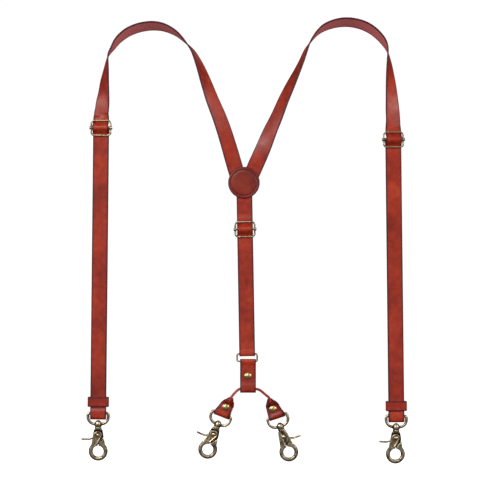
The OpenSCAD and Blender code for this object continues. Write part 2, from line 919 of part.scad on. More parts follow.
left_shoulder_strap();
right_shoulder_strap();
back_strap();
yoke_front_disc();
yoke_back_disc();
yoke_stitching();
left_strap_slack();
right_strap_slack();
back_strap_slack();
left_buckle_frame();
right_buckle_frame();
back_buckle_frame();
left_buckle_pin();
right_buckle_pin();
back_buckle_pin();
left_strap_over_pin();
right_strap_over_pin();
back_strap_over_pin();
left_front_layer();
right_front_layer();
back_front_layer();
left_return_layer();
right_return_layer();
back_return_layer();
left_strap_fold();
right_strap_fold();
back_strap_fold();
left_keeper();
right_keeper();
left_eye();
left_hook();
left_gate();
left_pivot();
left_spring();
right_eye();
right_hook();
right_gate();
right_pivot();
right_spring();
rear_left_eye();
rear_left_hook();
rear_left_gate();
rear_left_pivot();
rear_left_spring();
rear_right_eye();
rear_right_hook();
rear_right_gate();
rear_right_pivot();
rear_right_spring();
link_ring();
centre_tab();
centre_rivet();
thong();
rear_left_tab();
rear_left_rivet();
rear_right_tab();
rear_right_rivet();
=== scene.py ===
import math
import bmesh
import bpy
import numpy as np
from mathutils import Matrix, Vector


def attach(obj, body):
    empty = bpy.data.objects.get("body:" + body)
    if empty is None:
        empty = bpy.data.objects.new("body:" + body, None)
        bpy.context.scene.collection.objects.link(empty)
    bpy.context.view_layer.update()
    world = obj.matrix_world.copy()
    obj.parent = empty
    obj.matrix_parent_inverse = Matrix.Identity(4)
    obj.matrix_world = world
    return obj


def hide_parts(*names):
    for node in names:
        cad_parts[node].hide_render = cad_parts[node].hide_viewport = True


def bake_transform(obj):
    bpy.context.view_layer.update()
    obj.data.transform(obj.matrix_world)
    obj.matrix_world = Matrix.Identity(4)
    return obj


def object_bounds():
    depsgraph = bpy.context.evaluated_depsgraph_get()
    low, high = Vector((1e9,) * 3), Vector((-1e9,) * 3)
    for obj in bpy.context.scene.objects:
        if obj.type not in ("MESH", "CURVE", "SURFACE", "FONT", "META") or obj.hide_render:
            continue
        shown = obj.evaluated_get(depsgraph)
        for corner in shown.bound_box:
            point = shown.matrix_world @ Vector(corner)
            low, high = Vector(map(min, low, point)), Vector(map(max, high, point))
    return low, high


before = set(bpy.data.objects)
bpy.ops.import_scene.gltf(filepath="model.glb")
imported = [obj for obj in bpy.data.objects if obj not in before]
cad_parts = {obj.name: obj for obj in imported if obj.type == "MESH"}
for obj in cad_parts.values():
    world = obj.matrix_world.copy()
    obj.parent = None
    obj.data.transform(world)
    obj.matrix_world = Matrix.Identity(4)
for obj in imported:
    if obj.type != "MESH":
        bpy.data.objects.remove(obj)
cad_low, cad_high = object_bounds()
MM = 0.001

# Sizes and places shared with the CAD source, in millimetres
STRAP_W, STRAP_T, PARED_T = 19.0, 1.8, 0.9
LAYER_Y, BUCKLE_Y, OVER_PIN_Y = 1.1, -3.25, -6.4
WAVE_H, FOLD_TOP, TAB_Y = 11.0, 26.0, 1.0
EYE_FOLD_R, LINK_FOLD_R, SLEEVE_FOLD_R = 2.65, 2.05, 2.6
YOKE, YOKE_R = (-4.9, -186.0), 19.0
LEGS = {
    "left": (-176.2, -120.5, -0.6, 342.0, 13.5),
    "right": (174.3, -134.5, 0.65, 331.5, 12.0),
    "back": (-3.6, -242.0, 1.0, 149.4, 0.0),
}


def turned(lean):
    a = math.radians(lean)
    return Vector((math.cos(a), 0, math.sin(a))), Vector((-math.sin(a), 0, math.cos(a)))


def hung_at(x, z, lean):
    """Matrix of a leg's or a clip's own frame, in millimetres: x across, y back, z up."""
    side, up = turned(lean)
    return Matrix(((side.x, 0, up.x, x), (0, 1, 0, 0), (side.z, 0, up.z, z), (0, 0, 0, 1)))


def lower_bar(leg):
    x, z, lean, length, _ = LEGS[leg]
    up = turned(lean)[1]
    return x - up.x * length, z - up.z * length


CLIPS = {
    "left": (*lower_bar("left"), 0.0),
    "right": (*lower_bar("right"), -1.5),
    "rear_left": (-31.2, -463.6, -22.0),
    "rear_right": (34.5, -465.9, 18.5),
}
LEFT_ROUTE = [
    (-176, -104, 0), (-175.9, -102, 4), (-175.2, -98, 14), (-174.4, -90, 27), (-173.1, -78, 43),
    (-172, -64, 55), (-170.2, -50, 69), (-168, -34, 86), (-162.5, -24.5, 98), (-156, -15, 108),
    (-146, -6.5, 114.5), (-135, -1.3, 117), (-124.5, 1.4, 117.5), (-113.5, 2.3, 117), (-102.5, 0.8, 113),
    (-92.8, -3, 107), (-83.5, -9, 99), (-73.5, -19, 88), (-65.5, -29, 77), (-57.5, -46, 62),
    (-49.8, -67, 47), (-42.6, -87, 36), (-34.9, -106, 27), (-28.2, -125, 19), (-21.8, -146, 10),
    (-17.5, -161, 1), (-12.5, -178, 0),
]
RIGHT_ROUTE = [
    (174.1, -118, 0), (174.1, -116, -2), (174.1, -110, -9), (173.4, -98, -22), (172.6, -84, -36),
    (171.5, -68, -47), (170.5, -56, -57), (169.4, -42, -70), (167.6, -28, -88), (164.3, -19.5, -102),
    (159, -12, -109), (150, -3.7, -114), (139, 2.5, -117), (126, 6, -117.5), (113.8, 6.5, -117),
    (102.5, 4.5, -114), (92, 0.4, -109), (84, -5.5, -100), (78.5, -11.8, -94), (74, -18.5, -89),
    (69.8, -26.5, -80), (64.8, -39, -74), (59.5, -51, -68), (51.4, -68, -57), (42.6, -87, -49),
    (34.8, -106, -41), (26.2, -125, -29), (18.5, -144, -14), (9.7, -164, -1), (3, -179, 0),
]
THONG_ROUTE = [
    (-24.8, -451.4), (-22.5, -447.7), (-20, -443.5), (-19.1, -442.1), (-17.4, -439.9), (-14.7, -437.1),
    (-12.3, -434.9), (-10.5, -433.8), (-8.5, -433.6), (0, -433.6), (8.5, -433.6), (10.6, -433.7),
    (13, -434.4), (15.8, -436), (18.9, -438.6), (22, -441.2), (24.2, -442.9), (25, -443.8),
    (25.4, -444.9), (26.9, -449.5), (28.3, -453.5),
]


# Small helpers

def ease(a):
    a = max(0.0, min(1.0, a))
    return a * a * (3 - 2 * a)


def refined(route, steps):
    """Catmull-Rom curve through the rows of a route."""
    r = np.array(route, float)
    n = len(r)
    out = []
    for i in range(n - 1):
        a, b, c, d = r[max(i - 1, 0)], r[i], r[i + 1], r[min(i + 2, n - 1)]
        for k in range(steps):
            s = k / steps
            out.append(0.5 * (2 * b + (c - a) * s + (2 * a - 5 * b + 4 * c - d) * s * s
                              + (3 * b - a - 3 * c + d) * s ** 3))
    out.append(r[-1])
    return np.array(out)


def make(name, verts, faces, material, matrix=None, attributes=None, smooth_angle=40):
    """A mesh from points in millimetres, smooth but for its sharp corners."""
    mesh = bpy.data.meshes.new(name)
    if matrix is not None:
        verts = [matrix @ Vector(v) for v in verts]
    mesh.from_pydata([Vector(v) * MM for v in verts], [], faces)
    for key, values in (attributes or {}).items():
        mesh.attributes.new(key, "FLOAT", "POINT").data.foreach_set("value", np.array(values, np.float32))
    bm = bmesh.new()
    bm.from_mesh(mesh)
    bmesh.ops.recalc_face_normals(bm, faces=bm.faces)
    bm.to_mesh(mesh)
    bm.free()
    mesh.validate()
    mesh.shade_smooth()
    mesh.set_sharp_from_angle(angle=math.radians(smooth_angle))
    mesh.materials.append(material)
    obj = bpy.data.objects.new(name, mesh)
    bpy.context.scene.collection.objects.link(obj)
    return obj


# Materials

def colour(code, strength=1.0):
    c = [int(code[i:i + 2], 16) / 255 for i in (1, 3, 5)]
    lin = [v / 12.92 if v <= 0.04045 else ((v + 0.055) / 1.055) ** 2.4 for v in c]
    return (*[v * strength for v in lin], 1)


class Nodes:
    def __init__(self, name):
        self.material = bpy.data.materials.new(name)
        self.material.use_nodes = True
        self.tree = self.material.node_tree
        self.shader = self.tree.nodes["Principled BSDF"]
        self.place = self.add("ShaderNodeTexCoord").outputs["Object"]

    def add(self, kind, **settings):
        n = self.tree.nodes.new(kind)
        for k, v in settings.items():
            setattr(n, k, v)
        return n

    def feed(self, socket, value):
        if isinstance(value, bpy.types.NodeSocket):
            self.tree.links.new(value, socket)
        else:
            socket.default_value = value

    def noise(self, scale, detail=3.0, rough=0.55, stretch=None):
        n = self.add("ShaderNodeTexNoise")
        n.inputs["Scale"].default_value = scale
        n.inputs["Detail"].default_value = detail
        n.inputs["Roughness"].default_value = rough
        at = self.place
        if stretch:
            m = self.add("ShaderNodeMapping")
            m.inputs["Scale"].default_value = stretch
            self.feed(m.inputs["Vector"], at)
            at = m.outputs["Vector"]
        self.feed(n.inputs["Vector"], at)
        return n.outputs["Fac"]

    def cells(self, scale, feature="F1"):
        n = self.add("ShaderNodeTexVoronoi", feature=feature)
        n.inputs["Scale"].default_value = scale
        self.feed(n.inputs["Vector"], self.place)
        return n.outputs["Distance"]

    def ramp(self, fac, *stops):
        n = self.add("ShaderNodeValToRGB")
        e = n.color_ramp.elements
        while len(e) < len(stops):
            e.new(0.5)
        for el, (pos, col) in zip(e, stops):
            el.position = pos
            el.color = col if isinstance(col, tuple) else (col, col, col, 1)
        self.feed(n.inputs["Fac"], fac)
        return n.outputs["Color"]

    def mix(self, fac, a, b, blend="MIX"):
        n = self.add("ShaderNodeMix", data_type="RGBA", blend_type=blend)
        self.feed(n.inputs["Factor"], fac)
        self.feed(n.inputs["A"], a)
        self.feed(n.inputs["B"], b)
        return next(o for o in n.outputs if o.type == "RGBA")

    def math(self, op, a, b=0.0, clamp=False):
        n = self.add("ShaderNodeMath", operation=op, use_clamp=clamp)
        self.feed(n.inputs[0], a)
        self.feed(n.inputs[1], b)
        return n.outputs[0]

    def attribute(self, name):
        return self.add("ShaderNodeAttribute", attribute_name=name).outputs["Fac"]

    def bump(self, height, strength, depth_mm, under=None):
        n = self.add("ShaderNodeBump")
        n.inputs["Strength"].default_value = strength
        n.inputs["Distance"].default_value = depth_mm * MM
        self.feed(n.inputs["Height"], height)
        if under is not None:
            self.feed(n.inputs["Normal"], under)
        return n.outputs["Normal"]

    def out(self, **sockets):
        for k, v in sockets.items():
            self.feed(self.shader.inputs[k.replace("_", " ")], v)
        return self.material


def leather(name, deep, mid, light, flesh="#b9605f", paint="#420d1a", rough=0.4):
    n = Nodes(name)
    cloud = n.noise(22, 4)
    mottle = n.noise(160, 5, 0.6)
    tone = n.math("ADD", n.math("MULTIPLY", cloud, 0.6), n.math("MULTIPLY", mottle, 0.4))
    grain = n.ramp(tone, (0.36, colour(deep)), (0.5, colour(mid)), (0.64, colour(light)))
    pores = n.cells(1500)
    fine = n.noise(2600, 4, 0.65)
    grain = n.mix(n.ramp(pores, (0.0, 0.35), (0.25, 0.0)), grain, colour(deep), "MULTIPLY")
    fibres = n.noise(1500, 6, 0.7)
    under = n.mix(n.ramp(fibres, (0.35, 0.0), (0.65, 1.0)), colour(flesh, 0.92), colour(flesh, 1.07))
    base = n.mix(n.attribute("flesh"), grain, under)
    # The rim attribute lays the edge paint; on the patches it also lays painted shade in the crease groove
    rim = n.attribute("rim")
    base = n.mix(rim, base, n.mix(fibres, colour(paint, 0.8), colour(paint, 1.3)))
    gloss = n.ramp(n.noise(90, 4), (0.35, rough - 0.05), (0.65, rough + 0.08))
    gloss = n.mix(n.attribute("flesh"), gloss, (0.5, 0.5, 0.5, 1))
    grained = n.math("SUBTRACT", 1.0, n.math("MULTIPLY", n.attribute("flesh"), 0.85))
    relief = n.math("ADD", n.math("MULTIPLY", pores, 0.7), n.math("MULTIPLY", fine, 0.5))
    skin = n.bump(n.math("MULTIPLY", relief, grained), 0.3, 0.12)
    creases = n.bump(n.noise(70, 3), 0.2, 0.35, skin)
    return n.out(Base_Color=base, Roughness=gloss, Normal=creases, Specular_IOR_Level=0.25,
                 Coat_Weight=0.06, Coat_Roughness=0.25)


def metal(name, dark, mid, light, rough, wear=0.5, cavity=1.6):
    n = Nodes(name)
    patches = n.noise(240, 5, 0.65)
    specks = n.noise(1400, 4, 0.7)
    tone = n.math("ADD", n.math("MULTIPLY", patches, 0.6), n.math("MULTIPLY", specks, 0.4))
    body = n.ramp(tone, (0.38, colour(mid)), (0.6, colour(light)))
    shade = n.add("ShaderNodeAmbientOcclusion", samples=8)
    shade.inputs["Distance"].default_value = cavity * MM
    hollow = n.ramp(shade.outputs["AO"], (0.45, 1.0), (0.95, 0.0))
    # Darkest where ambient occlusion finds hollows, which is the patina of the antique finish, and where the
    # 'dark' attribute lays painted shade on the cast clip parts
    patina_and_painted_shade = n.math("MAXIMUM", n.math("MULTIPLY", hollow, wear), n.attribute("dark"), True)
    patina_and_painted_shade = n.math("MULTIPLY", patina_and_painted_shade, n.math("ADD", n.math("MULTIPLY", specks, 0.5), 0.75), True)
    base = n.mix(patina_and_painted_shade, body, colour(dark))
    gloss = n.math("ADD", n.math("MULTIPLY", tone, 0.18), rough - 0.09)
    gloss = n.math("ADD", gloss, n.math("MULTIPLY", patina_and_painted_shade, 0.25))
    cast = n.bump(n.noise(900, 5, 0.65), 0.25, 0.08)
    dents = n.bump(n.noise(220, 2), 0.3, 0.12, cast)
    return n.out(Base_Color=base, Roughness=gloss, Normal=dents, Metallic=1.0)


COGNAC = leather("cognac_leather", "#6a1505", "#892109", "#9c3012")
PATCH = leather("disc_leather", "#541106", "#6a1908", "#7a230f")
THONG = leather("thong_leather", "#7c281a", "#953722", "#a6482f", rough=0.34)
BRASS = metal("antique_brass", "#050302", "#6a5741", "#dac6a4", 0.28, 1.0, 2.2)
WIRE = metal("buckle_wire", "#140e09", "#7a6a52", "#c2af90", 0.34, 1.0, 2.4)
RIVET = metal("rivet_brass", "#3a2c18", "#a08a56", "#c4ae7e", 0.34, 0.7, 1.0)


def waxed_thread():
    n = Nodes("waxed_thread")
    twist = n.noise(2200, 3, 0.6)
    return n.out(Base_Color=n.ramp(twist, (0.3, colour("#3a1216")), (0.7, colour("#6a2a28"))),
                 Roughness=n.ramp(twist, (0.3, 0.45), (0.7, 0.65)), Normal=n.bump(twist, 0.5, 0.1))


THREAD = waxed_thread()


def walls(rings, sides, closed=False):
    """Faces between neighbouring rings of points that are numbered ring after ring."""
    faces = []
    for i in range(rings if closed else rings - 1):
        j = (i + 1) % rings
        for k in range(sides):
            m = (k + 1) % sides
            faces.append((i * sides + k, i * sides + m, j * sides + m, j * sides + k))
    return faces


# Leather strips

def cross_section(hw, ht, across):
    """Round-edged section as rows of u, v, rim, flesh, anticlockwise; +v is the grain side."""
    r = min(ht, hw) * 0.85
    flat = hw - r
    rows = []
    for side, sign in ((0, 1), (1, -1)):
        inner = [flat, flat - 0.35, flat - 1.0, flat - 2.4]
        inner = [u for u in inner if u > 0.4]
        paint = [1.0, 0.85, 0.22, 0.0]
        middle = [inner[-1] * (1 - 2 * (k + 1) / across) for k in range(across - 1)]
        us = inner + middle + [-u for u in reversed(inner)]
        rims = paint[:len(inner)] + [0.0] * len(middle) + list(reversed(paint[:len(inner)]))
        for u, rim in zip(us, rims):
            rows.append((u * sign, ht * sign, rim, float(side)))
        for k in range(1, 6):
            a = math.radians(90 + 180 * k / 6)
            rows.append((sign * (-flat + r * math.cos(a)), sign * ht * math.sin(a), 1.0, float(side)))
    return rows


def strip(name, rings, material=COGNAC, matrix=None, closed=False, ends=(True, True), push=None, across=6):
    """Leather swept through rings of (centre, across, normal, width, thickness)."""
    verts, rim, flesh = [], [], []
    count = None
    for i, (c, a, n, w, t) in enumerate(rings):
        rows = cross_section(w / 2, t / 2, across)
        count = len(rows)
        at_end = not closed and ((i == 0 and ends[0]) or (i == len(rings) - 1 and ends[1]))
        for u, v, r, f in rows:
            p = Vector(c) + Vector(a) * u + Vector(n) * v
            if push:
                p = p + Vector(n) * push(c, u)
            verts.append(p)
            rim.append(1.0 if at_end else r)
            flesh.append(f)
    total = len(rings)
    faces = walls(total, count, closed)
    if not closed:
        if ends[0]:
            faces.append(tuple(range(count)))
        if ends[1]:
            faces.append(tuple((total - 1) * count + k for k in reversed(range(count))))
    return make(name, verts, faces, material, matrix, {"rim": rim, "flesh": flesh}, 50)


def path_rings(path, width=STRAP_W):
    """Rings along a path of (y, z, thickness): the grain faces the front where the path runs down."""
    rings = []
    for i, (y, z, t) in enumerate(path):
        a, b = path[max(i - 1, 0)], path[min(i + 1, len(path) - 1)]
        d = Vector((0, b[0] - a[0], b[1] - a[1])).normalized()
        n = d.cross(Vector((1, 0, 0)))
        w = width(y, z) if callable(width) else width
        rings.append(((0, y, z), Vector((-1, 0, 0)), n, w, t))
    return rings


def route_rings(route, width=STRAP_W, thick=STRAP_T, steps=5):
    """Rings of a flat band along rows of x, z and twist."""
    r = refined(route, steps)
    rings = []
    for i in range(len(r)):
        a, b = r[max(i - 1, 0)], r[min(i + 1, len(r) - 1)]
        t = Vector((b[0] - a[0], 0, b[1] - a[1])).normalized()
        across = Vector((t.z, 0, -t.x))
        twist = math.radians(r[i][2])
        w = across * math.cos(twist) + Vector((0, -1, 0)) * math.sin(twist)
        rings.append(((r[i][0], 0, r[i][1]), w, w.cross(t), width, thick))
    return rings


def trim(obj, point, outward):
    """Cuts away what lies beyond a plane and closes the cut."""
    bm = bmesh.new()
    bm.from_mesh(obj.data)
    cut = bmesh.ops.bisect_plane(bm, geom=bm.verts[:] + bm.edges[:] + bm.faces[:], dist=1e-7,
                                 plane_co=Vector(point) * MM, plane_no=Vector(outward), clear_outer=True)
    edges = [e for e in cut["geom_cut"] if isinstance(e, bmesh.types.BMEdge)]
    if edges:
        bmesh.ops.edgenet_fill(bm, edges=edges)
    bm.to_mesh(obj.data)
    bm.free()


def finished(obj, body, slot, *nodes):
    if body:
        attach(obj, body)
    if nodes:
        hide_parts(*nodes)
    return obj


# Shoulder straps, which end under the patch; each comes out of its buckle with some twist left
LEAD = {"left": 16, "right": -14, "back": 0}
ROUTE_FOOT = 16.3  # where a shoulder route starts, above its buckle's pin
for side, route, outward in (("left", LEFT_ROUTE, 1), ("right", RIGHT_ROUTE, -1)):
    x, z, lean, _, _ = LEGS[side]
    up = turned(lean)[1]
    start = (x + up.x * ROUTE_FOOT, z + up.z * ROUTE_FOOT, LEAD[side])
    held = [(rx, rz, outward * max(outward * twist, outward * LEAD[side] + 4 * i))
            for i, (rx, rz, twist) in enumerate(route[1:4], 1)]
    obj = strip(f"{side}_shoulder_leather", route_rings([start] + held + route[4:]), ends=(False, True))
    trim(obj, (YOKE[0] - outward * 0.1, 0, 0), (outward, 0, 0))
    trim(obj, (0, 0, YOKE[1] + 2), (0, 0, -1))
    finished(obj, "straps", "leather", f"{side}_shoulder_strap")
back = hung_at(*LEGS["back"][:3])
top = YOKE[1] + 1.9 - LEGS["back"][1]
span = [(0.0, WAVE_H + 8 + (top - WAVE_H - 8) * k / 8, STRAP_T) for k in range(8, -1, -1)]
obj = strip("back_strap_leather", path_rings(span), matrix=back, ends=(True, False))
finished(obj, "straps", "leather", "back_strap")


# Round patches with a creased rim, and their stitches

def patch(name, rise, facing):
    t, r = STRAP_T, YOKE_R
    profile = [
        (0, t + rise), (4, t + rise * 0.99), (8, t + rise * 0.96), (11, t + rise * 0.9),
        (13.4, t + rise * 0.78), (14.7, t + rise * 0.5), (15.2, t + 0.1), (15.5, t - 0.3),
        (15.8, t - 0.42), (16.1, t - 0.3), (16.4, t - 0.02), (17.0, t + 0.1), (17.7, t + 0.02),
        (18.3, t - 0.18), (18.75, t - 0.55), (19.0, t - 1.0), (18.98, 0.35), (18.7, 0.0), (10, 0.0), (0, 0.0),
    ]
    # Edge colour for each profile point: the outer values are the real painted edge, the values round 15.8 mm
    # darken the crease groove, which is painted shade
    paint = [0, 0, 0, 0, 0, 0, 0.1, 0.45, 0.7, 0.45, 0.1, 0, 0.1, 0.4, 0.9, 1, 1, 1, 1, 1]
    turns = 96
    verts, rim = [], []
    for (pr, py), pt in zip(profile, paint):
        for k in range(turns):
            a = 2 * math.pi * k / turns
            ripple = 0.05 * math.sin(17 * a + pr) if 15 < pr < 19 else 0
            out = pr or 0.01
            y = facing * (STRAP_T / 2 + 0.1 + py + ripple * 0.5)
            verts.append((YOKE[0] + out * math.cos(a), y, YOKE[1] + out * math.sin(a)))
            rim.append(pt)
    faces = walls(len(profile), turns)
    faces.append(tuple(range(turns)))
    faces.append(tuple((len(profile) - 1) * turns + k for k in range(turns)))
    return make(name, verts, faces, PATCH, None, {"rim": rim, "flesh": [0.0] * len(verts)}, 60)


finished(patch("front_patch", 0.8, -1), "straps", "leather", "yoke_front_disc")
finished(patch("back_patch", 0.3, 1), "straps", "leather", "yoke_back_disc")


def stitches():
    verts, faces = [], []
    count, half, r = 34, 1.15, 0.32
    for face in (-1, 1):
        for s in range(count):
            mid = 2 * math.pi * s / count
            rows = []
            for k in range(7):
                f = k / 3 - 1
                a = mid + f * half / 15.8
                rr = r * math.sqrt(max(0.0, 1 - abs(f) ** 3)) + 0.03
                depth = STRAP_T / 2 + 0.1 + STRAP_T - 0.42 - 0.3 * f * f
                centre = Vector((math.cos(a), 0, math.sin(a))) * 15.8
                ring = []
                for j in range(8):
                    b = 2 * math.pi * j / 8
                    p = centre + Vector((math.cos(a), 0, math.sin(a))) * rr * math.cos(b)
                    ring.append(len(verts))
                    verts.append((YOKE[0] + p.x, face * (depth + rr * math.sin(b)), YOKE[1] + p.z))
                rows.append(ring)
            for p, q in zip(rows, rows[1:]):
                for j in range(8):
                    faces.append((p[j], p[(j + 1) % 8], q[(j + 1) % 8], q[j]))
            faces += [tuple(rows[0]), tuple(reversed(rows[-1]))]
    return make("patch_stitches", verts, faces, THREAD)


finished(stitches(), "straps", "thread", "yoke_stitching")


# Legs: over the pin, down the front, round the bar, up the back and round the pin

def leg_path(length, bend, drop):
    half = 10 - 2.2
    path = []
    for k in range(16, -17, -1):
        z = WAVE_H * k / 16
        s = min(1, abs(z) / half)
        path.append((OVER_PIN_Y + (-LAYER_Y - OVER_PIN_Y) * ease(ease(s) * 0.5 + s * 0.5), z, STRAP_T))
    low = FOLD_TOP - length
    steps = 24
    path += [(-LAYER_Y, -WAVE_H + (low + WAVE_H) * k / steps, STRAP_T) for k in range(1, steps + 1)]
    path += [(-LAYER_Y, 13 - length, STRAP_T), (-LAYER_Y, 7 - length, STRAP_T)]
    path += [(-LAYER_Y - (bend - LAYER_Y) * ease(k / 6), 7 - k - length, STRAP_T) for k in range(1, 7)]
    for k in range(0, 13):
        a = math.radians(180 + 15 * k)
        path.append((bend * math.cos(a), bend * math.sin(a) - drop - length, STRAP_T))
    path += [(LAYER_Y + (bend - LAYER_Y) * ease(k / 6), 7 - k - length, STRAP_T) for k in range(6, 0, -1)]
    path += [(LAYER_Y, 7 - length, STRAP_T), (LAYER_Y, 13 - length, STRAP_T)]
    path += [(LAYER_Y, -WAVE_H + (low + WAVE_H) * k / steps, STRAP_T) for k in range(steps, 0, -1)]
    loop_r = 1.1 + 0.1 + PARED_T / 2
    for k in range(0, 9):
        s = k / 8
        path.append((LAYER_Y + (BUCKLE_Y + loop_r - LAYER_Y) * ease(s), -WAVE_H + 0.3 + (WAVE_H - 1.3) * s,
                     STRAP_T + (PARED_T - STRAP_T) * ease(s * 1.6)))
    for a in range(20, 250, 20):
        a = math.radians(a)
        path.append((BUCKLE_Y + loop_r * math.cos(a), loop_r * math.sin(a), PARED_T))
    return path


# The strap over each front pin sits a little outwards, and the loop behind it inwards
SWAY = {"left": -0.7, "right": 0.7, "back": 0}


def bowed(z):
    return max(0.0, 1 - (z / WAVE_H) ** 2) ** 2


for side, (x, z, lean, length, keeper_z) in LEGS.items():
    m = hung_at(x, z, lean)
    bend, drop = (LINK_FOLD_R, 0.0) if side == "back" else (EYE_FOLD_R, 4.2)
    rings = path_rings(leg_path(length, bend, drop))
    rings = [((SWAY[side] * bowed(c[2]) * (1 if 2 * i < len(rings) else -1), c[1], c[2]), *rest)
             for i, (c, *rest) in enumerate(rings)]
    leg = strip(f"{side}_leg_leather", rings, matrix=m, ends=(False, True))

    def at(height):
        return m @ Vector((0, 0, height)) * MM

    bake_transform(leg)
    finished(leg, None, "leather", f"{side}_strap_over_pin", f"{side}_front_layer", f"{side}_strap_fold",
             f"{side}_return_layer")
    rise = 8.0 if side == "back" else 5.3
    eased = [(-LAYER_Y * ease(k / 12), WAVE_H + rise * (1 - k / 12), STRAP_T) for k in range(0, 13)]
    rings = []
    for k, (c, _, _, w, t) in enumerate(path_rings(eased)):
        a = math.radians(LEAD[side] * ease(1 - k / 12))
        width = Vector((-math.cos(a), math.sin(a), 0))
        normal = Vector((-math.sin(a), -math.cos(a), 0))
        rings.append((c, width, normal, w, t))
    slack = strip(f"{side}_slack_leather", rings, matrix=m, ends=(False, False))
    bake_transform(slack)
    finished(slack, None, "leather", f"{side}_strap_slack")


# Keepers: a band round both layers, lapped at the back

BAND_W, BAND_T = 11.7, 1.5
LAP_W, LAP_T, LAP_HALF, LAP_Y = 11.3, 1.4, 4.8, 3.98


def keeper(side):
    x, z, lean, length, over = LEGS[side]
    m = hung_at(x, z, lean) @ Matrix.Translation((0, 0, over - length))
    hx, hy, r = 11.95, 3.05, 1.5
    up, back = Vector((0, 0, 1)), Vector((0, 1, 0))
    rings = []
    corners = [(hx - r, -hy + r, -90), (hx - r, hy - r, 0), (-hx + r, hy - r, 90), (-hx + r, -hy + r, 180)]
    for cx, cy, start in corners:
        for k in range(0, 7):
            a = math.radians(start + 15 * k)
            out = Vector((math.cos(a), math.sin(a), 0))
            rings.append((Vector((cx, cy, 0)) + r * out, up, out, BAND_W, BAND_T))
        if start in (-90, 90):
            continue
        for k in range(1, 8):
            nx = (hx - r) * (1 - 2 * k / 8)
            sign = 1 if start == 0 else -1
            bow = 0.18 * math.sin(math.pi * k / 8)
            centre = Vector((nx * sign, sign * (hy + bow), 0))
            rings.append((centre, up, Vector((0, sign, 0)), BAND_W, BAND_T))
    obj = strip(f"{side}_keeper_leather", rings, matrix=m, closed=True)
    lap = []
    for k in range(7):
        centre = (-LAP_HALF + 2 * LAP_HALF * k / 6, LAP_Y + 0.1 * math.sin(math.pi * k / 6), 0)
        lap.append((centre, -up, back, LAP_W, LAP_T))
    over_back = strip(f"{side}_keeper_lap", lap, matrix=m)
    finished(obj, f"{side}_keeper", "leather", f"{side}_keeper")
    finished(over_back, f"{side}_keeper", "leather")


for side in ("left", "right"):
    keeper(side)


# Centre tab: round the link ring, down the front, round the thong and up the back

def centre_path():
    bz = lower_bar("back")[1]
    top, sleeve, low, lap = bz - 9.0, -433.6, -434.6, 3 * TAB_Y
    path = [(lap, -425), (lap, -421), (lap, -416), (lap, top - 8), (LINK_FOLD_R + 0.75, top - 6)]
    path += [(LINK_FOLD_R + 0.4, top - 4), (LINK_FOLD_R, top - 0.8)]
    path += [(LINK_FOLD_R * math.cos(math.radians(a)), top + LINK_FOLD_R * math.sin(math.radians(a)))
             for a in range(0, 181, 15)]
    path += [(-LINK_FOLD_R + (LINK_FOLD_R - TAB_Y) * ease(k / 5), top - 6 * k / 5) for k in range(1, 6)]
    path += [(-TAB_Y, top - 12), (-TAB_Y, sleeve + 14), (-TAB_Y, sleeve + 10)]
    path += [(-TAB_Y - (SLEEVE_FOLD_R - TAB_Y) * ease(k / 8), sleeve + 10 - k) for k in range(1, 9)]
    path += [(SLEEVE_FOLD_R * math.cos(math.radians(a)), low + SLEEVE_FOLD_R * math.sin(math.radians(a)))
             for a in range(180, 361, 15)]
    path += [(TAB_Y + (SLEEVE_FOLD_R - TAB_Y) * ease(k / 8), sleeve + 10 - k) for k in range(8, -1, -1)]
    path += [(TAB_Y, sleeve + 14), (TAB_Y, top - 12), (TAB_Y, top - 7.5)]
    return [(y, z, STRAP_T) for y, z in path]


obj = strip("centre_tab_leather", path_rings(centre_path()))
finished(obj, "centre_tab", "leather", "centre_tab")


# Thong, one round cord held in both tabs

THONG_R = 1.55


def thong():
    r = refined(THONG_ROUTE, 5)
    sides = 18
    verts = []
    for i in range(len(r)):
        a, b = r[max(i - 1, 0)], r[min(i + 1, len(r) - 1)]
        t = Vector((b[0] - a[0], 0, b[1] - a[1])).normalized()
        across = Vector((t.z, 0, -t.x))
        for k in range(sides):
            g = 2 * math.pi * k / sides
            rr = THONG_R * (1 + 0.02 * math.sin(i * 1.7) * math.cos(g))
            offset = across * math.cos(g) + Vector((0, 1, 0)) * math.sin(g)
            verts.append(Vector((r[i][0], 0, r[i][1])) + rr * offset)
    faces = walls(len(r), sides)
    faces += [tuple(range(sides)), tuple((len(r) - 1) * sides + k for k in reversed(range(sides)))]
    return make("thong_cord", verts, faces, THONG)


finished(thong(), "thong", "leather", "thong")


# Clip tabs, folded round the eye's bar and over the thong's end

TABS = {"rear_left": (0.14, 1.2, 9.5), "rear_right": (-0.09, -1.95, 0.0)}
TAB_HALF = [(-4, 10.0), (1.5, 10.0), (5, 9.7), (9, 9.1), (12, 8.55), (14.5, 7.9), (16.5, 7.0), (18.5, 5.7),
            (20.3, 4.5), (21.5, 3.7), (22.3, 2.9), (22.8, 2.1)]


